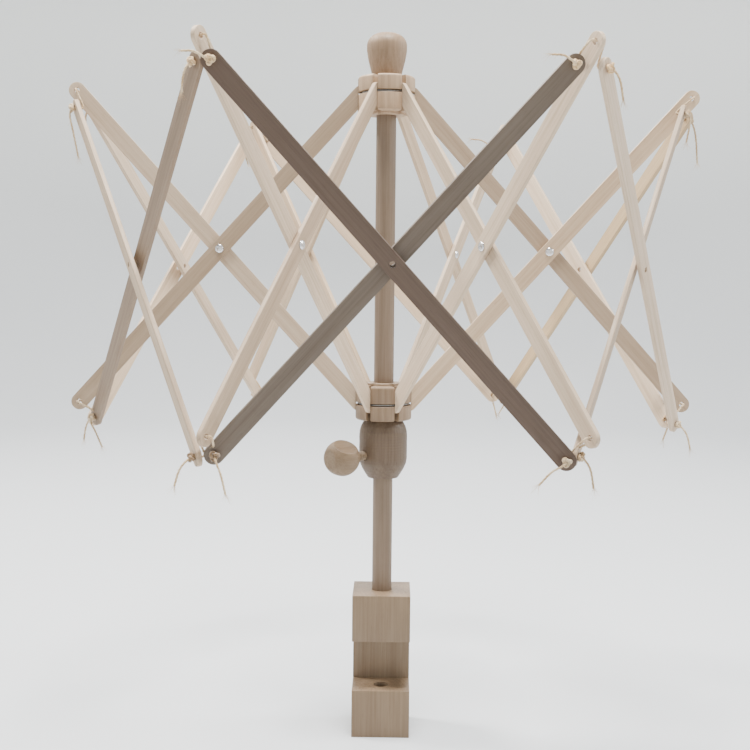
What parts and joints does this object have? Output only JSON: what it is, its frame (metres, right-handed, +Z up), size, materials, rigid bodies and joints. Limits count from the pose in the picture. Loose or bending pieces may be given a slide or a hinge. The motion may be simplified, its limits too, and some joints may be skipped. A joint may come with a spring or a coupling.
{
  "type": "umbrella yarn swift",
  "caption": "Wooden umbrella yarn swift: scissor ribs and string-tied outer slats fold between slotted hubs on a dowel, over a C-shaped clamp block.",
  "frame": {"origin": "centre of the clamp block's underside, on the line of the shaft", "axes": "+Z up along the shaft; the block's throat opens towards -Y"},
  "size_m": [0.5946, 0.5296, 0.6525],
  "materials": {
    "birch_slat": "raw fine-grained birch, matt, flat sawn along the slat",
    "turned_wood": "turned raw wood, matt with fine turning rings",
    "shaft_wood": "straight-grained dowel, matt",
    "block_wood": "planed block, grain upright, matt with eased edges",
    "rivet_steel": "bright domed tubular rivet",
    "wire_steel": "dull drawn wire",
    "jute_string": "twisted jute twine, hairy, matt"
  },
  "bodies": {
    "base": {"clamp_block": "block_wood", "shaft": "shaft_wood"},
    "rotor": {"upper_hub": "turned_wood", "finial": "turned_wood", "upper_hub_wire": "wire_steel"},
    "upper_arm_1": {"upper_arm_1": "birch_slat", "arm_rivet_1": "rivet_steel"},
    "lower_arm_1": {"lower_arm_1": "birch_slat"},
    "top_tie_1": {"top_tie_1": "jute_string"},
    "bottom_tie_1": {"bottom_tie_1": "jute_string"},
    "outer_slat_a_1": {"outer_slat_a_1": "birch_slat"},
    "outer_slat_b_1": {"outer_slat_b_1": "birch_slat"},
    "upper_arm_2": {"upper_arm_2": "birch_slat", "arm_rivet_2": "rivet_steel"},
    "lower_arm_2": {"lower_arm_2": "birch_slat"},
    "top_tie_2": {"top_tie_2": "jute_string"},
    "bottom_tie_2": {"bottom_tie_2": "jute_string"},
    "outer_slat_a_2": {"outer_slat_a_2": "birch_slat"},
    "outer_slat_b_2": {"outer_slat_b_2": "birch_slat"},
    "upper_arm_3": {"upper_arm_3": "birch_slat", "arm_rivet_3": "rivet_steel"},
    "lower_arm_3": {"lower_arm_3": "birch_slat"},
    "top_tie_3": {"top_tie_3": "jute_string"},
    "bottom_tie_3": {"bottom_tie_3": "jute_string"},
    "outer_slat_a_3": {"outer_slat_a_3": "birch_slat"},
    "outer_slat_b_3": {"outer_slat_b_3": "birch_slat"},
    "upper_arm_4": {"upper_arm_4": "birch_slat", "arm_rivet_4": "rivet_steel"},
    "lower_arm_4": {"lower_arm_4": "birch_slat"},
    "top_tie_4": {"top_tie_4": "jute_string"},
    "bottom_tie_4": {"bottom_tie_4": "jute_string"},
    "outer_slat_a_4": {"outer_slat_a_4": "birch_slat"},
    "outer_slat_b_4": {"outer_slat_b_4": "birch_slat"},
    "upper_arm_5": {"upper_arm_5": "birch_slat", "arm_rivet_5": "rivet_steel"},
    "lower_arm_5": {"lower_arm_5": "birch_slat"},
    "top_tie_5": {"top_tie_5": "jute_string"},
    "bottom_tie_5": {"bottom_tie_5": "jute_string"},
    "outer_slat_a_5": {"outer_slat_a_5": "birch_slat"},
    "outer_slat_b_5": {"outer_slat_b_5": "birch_slat"},
    "upper_arm_6": {"upper_arm_6": "birch_slat", "arm_rivet_6": "rivet_steel"},
    "lower_arm_6": {"lower_arm_6": "birch_slat"},
    "top_tie_6": {"top_tie_6": "jute_string"},
    "bottom_tie_6": {"bottom_tie_6": "jute_string"},
    "outer_slat_a_6": {"outer_slat_a_6": "birch_slat"},
    "outer_slat_b_6": {"outer_slat_b_6": "birch_slat"},
    "lower_hub": {"lower_hub": "turned_wood", "lower_hub_wire": "wire_steel"},
    "collar": {"collar": "turned_wood"},
    "thumb_screw": {"thumb_screw": "turned_wood"}
  },
  "joints": [
    {"name": "rotor_spin", "type": "hinge", "parent": "base", "child": "rotor", "pos_m": [0, 0, 0.597], "axis": [0, 0, 1], "continuous": true},
    {"name": "umbrella_fold", "type": "hinge", "parent": "rotor", "child": "upper_arm_1", "pos_m": [0.02317, 0.00319, 0.597], "axis": [-0.0489, 0.9988, 0], "range_deg": [-22, 22]},
    {"name": "lower_arm_1_scissor", "type": "hinge", "parent": "upper_arm_1", "child": "lower_arm_1", "pos_m": [0.15267, 0.00747, 0.45462], "axis": [-0.0489, 0.9988, 0], "range_deg": [-44, 44]},
    {"name": "top_tie_1_swing", "type": "hinge", "parent": "lower_arm_1", "child": "top_tie_1", "pos_m": [0.28217, 0.01175, 0.597], "axis": [-0.0489, 0.9988, 0], "range_deg": [-22, 22]},
    {"name": "bottom_tie_1_swing", "type": "hinge", "parent": "upper_arm_1", "child": "bottom_tie_1", "pos_m": [0.28197, 0.01584, 0.31224], "axis": [-0.0489, 0.9988, 0], "range_deg": [-22, 22]},
    {"name": "upper_arm_2_fold", "type": "hinge", "parent": "rotor", "child": "upper_arm_2", "pos_m": [0.00883, 0.02166, 0.597], "axis": [-0.8894, 0.4571, 0], "range_deg": [-22, 22]},
    {"name": "lower_arm_2_scissor", "type": "hinge", "parent": "upper_arm_2", "child": "lower_arm_2", "pos_m": [0.06987, 0.13595, 0.45462], "axis": [-0.8894, 0.4571, 0], "range_deg": [-44, 44]},
    {"name": "top_tie_2_swing", "type": "hinge", "parent": "lower_arm_2", "child": "top_tie_2", "pos_m": [0.13091, 0.25024, 0.597], "axis": [-0.8894, 0.4571, 0], "range_deg": [-22, 22]},
    {"name": "bottom_tie_2_swing", "type": "hinge", "parent": "upper_arm_2", "child": "bottom_tie_2", "pos_m": [0.12727, 0.25212, 0.31224], "axis": [-0.8894, 0.4571, 0], "range_deg": [-22, 22]},
    {"name": "upper_arm_3_fold", "type": "hinge", "parent": "rotor", "child": "upper_arm_3", "pos_m": [-0.01435, 0.01847, 0.597], "axis": [-0.8406, -0.5417, 0], "range_deg": [-22, 22]},
    {"name": "lower_arm_3_scissor", "type": "hinge", "parent": "upper_arm_3", "child": "lower_arm_3", "pos_m": [-0.0828, 0.12848, 0.45462], "axis": [-0.8406, -0.5417, 0], "range_deg": [-44, 44]},
    {"name": "top_tie_3_swing", "type": "hinge", "parent": "lower_arm_3", "child": "top_tie_3", "pos_m": [-0.15126, 0.2385, 0.597], "axis": [-0.8406, -0.5417, 0], "range_deg": [-22, 22]},
    {"name": "bottom_tie_3_swing", "type": "hinge", "parent": "upper_arm_3", "child": "bottom_tie_3", "pos_m": [-0.15471, 0.23627, 0.31224], "axis": [-0.8406, -0.5417, 0], "range_deg": [-22, 22]},
    {"name": "upper_arm_4_fold", "type": "hinge", "parent": "rotor", "child": "upper_arm_4", "pos_m": [-0.02317, -0.00319, 0.597], "axis": [0.0489, -0.9988, 0], "range_deg": [-22, 22]},
    {"name": "lower_arm_4_scissor", "type": "hinge", "parent": "upper_arm_4", "child": "lower_arm_4", "pos_m": [-0.15267, -0.00747, 0.45462], "axis": [0.0489, -0.9988, 0], "range_deg": [-44, 44]},
    {"name": "top_tie_4_swing", "type": "hinge", "parent": "lower_arm_4", "child": "top_tie_4", "pos_m": [-0.28217, -0.01175, 0.597], "axis": [0.0489, -0.9988, 0], "range_deg": [-22, 22]},
    {"name": "bottom_tie_4_swing", "type": "hinge", "parent": "upper_arm_4", "child": "bottom_tie_4", "pos_m": [-0.28197, -0.01584, 0.31224], "axis": [0.0489, -0.9988, 0], "range_deg": [-22, 22]},
    {"name": "upper_arm_5_fold", "type": "hinge", "parent": "rotor", "child": "upper_arm_5", "pos_m": [-0.00883, -0.02166, 0.597], "axis": [0.8894, -0.4571, 0], "range_deg": [-22, 22]},
    {"name": "lower_arm_5_scissor", "type": "hinge", "parent": "upper_arm_5", "child": "lower_arm_5", "pos_m": [-0.06987, -0.13595, 0.45462], "axis": [0.8894, -0.4571, 0], "range_deg": [-44, 44]},
    {"name": "top_tie_5_swing", "type": "hinge", "parent": "lower_arm_5", "child": "top_tie_5", "pos_m": [-0.13091, -0.25024, 0.597], "axis": [0.8894, -0.4571, 0], "range_deg": [-22, 22]},
    {"name": "bottom_tie_5_swing", "type": "hinge", "parent": "upper_arm_5", "child": "bottom_tie_5", "pos_m": [-0.12727, -0.25212, 0.31224], "axis": [0.8894, -0.4571, 0], "range_deg": [-22, 22]},
    {"name": "upper_arm_6_fold", "type": "hinge", "parent": "rotor", "child": "upper_arm_6", "pos_m": [0.01435, -0.01847, 0.597], "axis": [0.8406, 0.5417, 0], "range_deg": [-22, 22]},
    {"name": "lower_arm_6_scissor", "type": "hinge", "parent": "upper_arm_6", "child": "lower_arm_6", "pos_m": [0.0828, -0.12848, 0.45462], "axis": [0.8406, 0.5417, 0], "range_deg": [-44, 44]},
    {"name": "top_tie_6_swing", "type": "hinge", "parent": "lower_arm_6", "child": "top_tie_6", "pos_m": [0.15126, -0.2385, 0.597], "axis": [0.8406, 0.5417, 0], "range_deg": [-22, 22]},
    {"name": "bottom_tie_6_swing", "type": "hinge", "parent": "upper_arm_6", "child": "bottom_tie_6", "pos_m": [0.15471, -0.23627, 0.31224], "axis": [0.8406, 0.5417, 0], "range_deg": [-22, 22]},
    {"name": "outer_slat_a_1_swing", "type": "hinge", "parent": "top_tie_1", "child": "outer_slat_a_1", "pos_m": [0.28024, 0.02121, 0.58], "axis": [-0.8406, -0.5417, 0], "range_deg": [-22, 22]},
    {"name": "outer_slat_b_1_swing", "type": "hinge", "parent": "top_tie_2", "child": "outer_slat_b_1", "pos_m": [0.13498, 0.23562, 0.582], "axis": [0.8406, 0.5417, 0], "range_deg": [-22, 22]},
    {"name": "outer_slat_a_2_swing", "type": "hinge", "parent": "top_tie_2", "child": "outer_slat_a_2", "pos_m": [0.12175, 0.2533, 0.58], "axis": [0.0489, -0.9988, 0], "range_deg": [-22, 22]},
    {"name": "outer_slat_b_2_swing", "type": "hinge", "parent": "top_tie_3", "child": "outer_slat_b_2", "pos_m": [-0.13656, 0.23471, 0.582], "axis": [-0.0489, 0.9988, 0], "range_deg": [-22, 22]},
    {"name": "outer_slat_a_3_swing", "type": "hinge", "parent": "top_tie_3", "child": "outer_slat_a_3", "pos_m": [-0.15849, 0.23209, 0.58], "axis": [0.8894, -0.4571, 0], "range_deg": [-22, 22]},
    {"name": "outer_slat_b_3_swing", "type": "hinge", "parent": "top_tie_4", "child": "outer_slat_b_3", "pos_m": [-0.27154, -0.00091, 0.582], "axis": [-0.8894, 0.4571, 0], "range_deg": [-22, 22]},
    {"name": "outer_slat_a_4_swing", "type": "hinge", "parent": "top_tie_4", "child": "outer_slat_a_4", "pos_m": [-0.28024, -0.02121, 0.58], "axis": [0.8406, 0.5417, 0], "range_deg": [-22, 22]},
    {"name": "outer_slat_b_4_swing", "type": "hinge", "parent": "top_tie_5", "child": "outer_slat_b_4", "pos_m": [-0.13498, -0.23562, 0.582], "axis": [-0.8406, -0.5417, 0], "range_deg": [-22, 22]},
    {"name": "outer_slat_a_5_swing", "type": "hinge", "parent": "top_tie_5", "child": "outer_slat_a_5", "pos_m": [-0.12175, -0.2533, 0.58], "axis": [-0.0489, 0.9988, 0], "range_deg": [-22, 22]},
    {"name": "outer_slat_b_5_swing", "type": "hinge", "parent": "top_tie_6", "child": "outer_slat_b_5", "pos_m": [0.13656, -0.23471, 0.582], "axis": [0.0489, -0.9988, 0], "range_deg": [-22, 22]},
    {"name": "outer_slat_a_6_swing", "type": "hinge", "parent": "top_tie_6", "child": "outer_slat_a_6", "pos_m": [0.15849, -0.23209, 0.58], "axis": [-0.8894, 0.4571, 0], "range_deg": [-22, 22]},
    {"name": "outer_slat_b_6_swing", "type": "hinge", "parent": "top_tie_1", "child": "outer_slat_b_6", "pos_m": [0.27154, 0.00091, 0.582], "axis": [0.8894, -0.4571, 0], "range_deg": [-22, 22]},
    {"name": "lower_hub_pivot", "type": "hinge", "parent": "lower_arm_1", "child": "lower_hub", "pos_m": [0.02337, -0.00091, 0.31224], "axis": [-0.0489, 0.9988, 0], "range_deg": [-22, 22]},
    {"name": "collar_turn", "type": "hinge", "parent": "lower_hub", "child": "collar", "pos_m": [0, 0, 0.29674], "axis": [0, 0, 1], "continuous": true},
    {"name": "thumb_screw_turn", "type": "hinge", "parent": "collar", "child": "thumb_screw", "pos_m": [-0.03743, -0.02924, 0.264], "axis": [-0.788, -0.6157, 0], "range_deg": [0, 450]}
  ],
  "couplings": [
    {"joint": "lower_arm_1_scissor", "follows": "umbrella_fold", "ratio": -2},
    {"joint": "top_tie_1_swing", "follows": "umbrella_fold", "ratio": 1},
    {"joint": "bottom_tie_1_swing", "follows": "umbrella_fold", "ratio": -1},
    {"joint": "upper_arm_2_fold", "follows": "umbrella_fold", "ratio": 1},
    {"joint": "lower_arm_2_scissor", "follows": "umbrella_fold", "ratio": -2},
    {"joint": "top_tie_2_swing", "follows": "umbrella_fold", "ratio": 1},
    {"joint": "bottom_tie_2_swing", "follows": "umbrella_fold", "ratio": -1},
    {"joint": "upper_arm_3_fold", "follows": "umbrella_fold", "ratio": 1},
    {"joint": "lower_arm_3_scissor", "follows": "umbrella_fold", "ratio": -2},
    {"joint": "top_tie_3_swing", "follows": "umbrella_fold", "ratio": 1},
    {"joint": "bottom_tie_3_swing", "follows": "umbrella_fold", "ratio": -1},
    {"joint": "upper_arm_4_fold", "follows": "umbrella_fold", "ratio": 1},
    {"joint": "lower_arm_4_scissor", "follows": "umbrella_fold", "ratio": -2},
    {"joint": "top_tie_4_swing", "follows": "umbrella_fold", "ratio": 1},
    {"joint": "bottom_tie_4_swing", "follows": "umbrella_fold", "ratio": -1},
    {"joint": "upper_arm_5_fold", "follows": "umbrella_fold", "ratio": 1},
    {"joint": "lower_arm_5_scissor", "follows": "umbrella_fold", "ratio": -2},
    {"joint": "top_tie_5_swing", "follows": "umbrella_fold", "ratio": 1},
    {"joint": "bottom_tie_5_swing", "follows": "umbrella_fold", "ratio": -1},
    {"joint": "upper_arm_6_fold", "follows": "umbrella_fold", "ratio": 1},
    {"joint": "lower_arm_6_scissor", "follows": "umbrella_fold", "ratio": -2},
    {"joint": "top_tie_6_swing", "follows": "umbrella_fold", "ratio": 1},
    {"joint": "bottom_tie_6_swing", "follows": "umbrella_fold", "ratio": -1},
    {"joint": "outer_slat_a_1_swing", "follows": "umbrella_fold", "ratio": 1},
    {"joint": "outer_slat_b_1_swing", "follows": "umbrella_fold", "ratio": 1},
    {"joint": "outer_slat_a_2_swing", "follows": "umbrella_fold", "ratio": 1},
    {"joint": "outer_slat_b_2_swing", "follows": "umbrella_fold", "ratio": 1},
    {"joint": "outer_slat_a_3_swing", "follows": "umbrella_fold", "ratio": 1},
    {"joint": "outer_slat_b_3_swing", "follows": "umbrella_fold", "ratio": 1},
    {"joint": "outer_slat_a_4_swing", "follows": "umbrella_fold", "ratio": 1},
    {"joint": "outer_slat_b_4_swing", "follows": "umbrella_fold", "ratio": 1},
    {"joint": "outer_slat_a_5_swing", "follows": "umbrella_fold", "ratio": 1},
    {"joint": "outer_slat_b_5_swing", "follows": "umbrella_fold", "ratio": 1},
    {"joint": "outer_slat_a_6_swing", "follows": "umbrella_fold", "ratio": 1},
    {"joint": "outer_slat_b_6_swing", "follows": "umbrella_fold", "ratio": 1},
    {"joint": "lower_hub_pivot", "follows": "umbrella_fold", "ratio": 1},
    {"joint": "collar_turn", "follows": "rotor_spin", "ratio": -1}
  ]
}
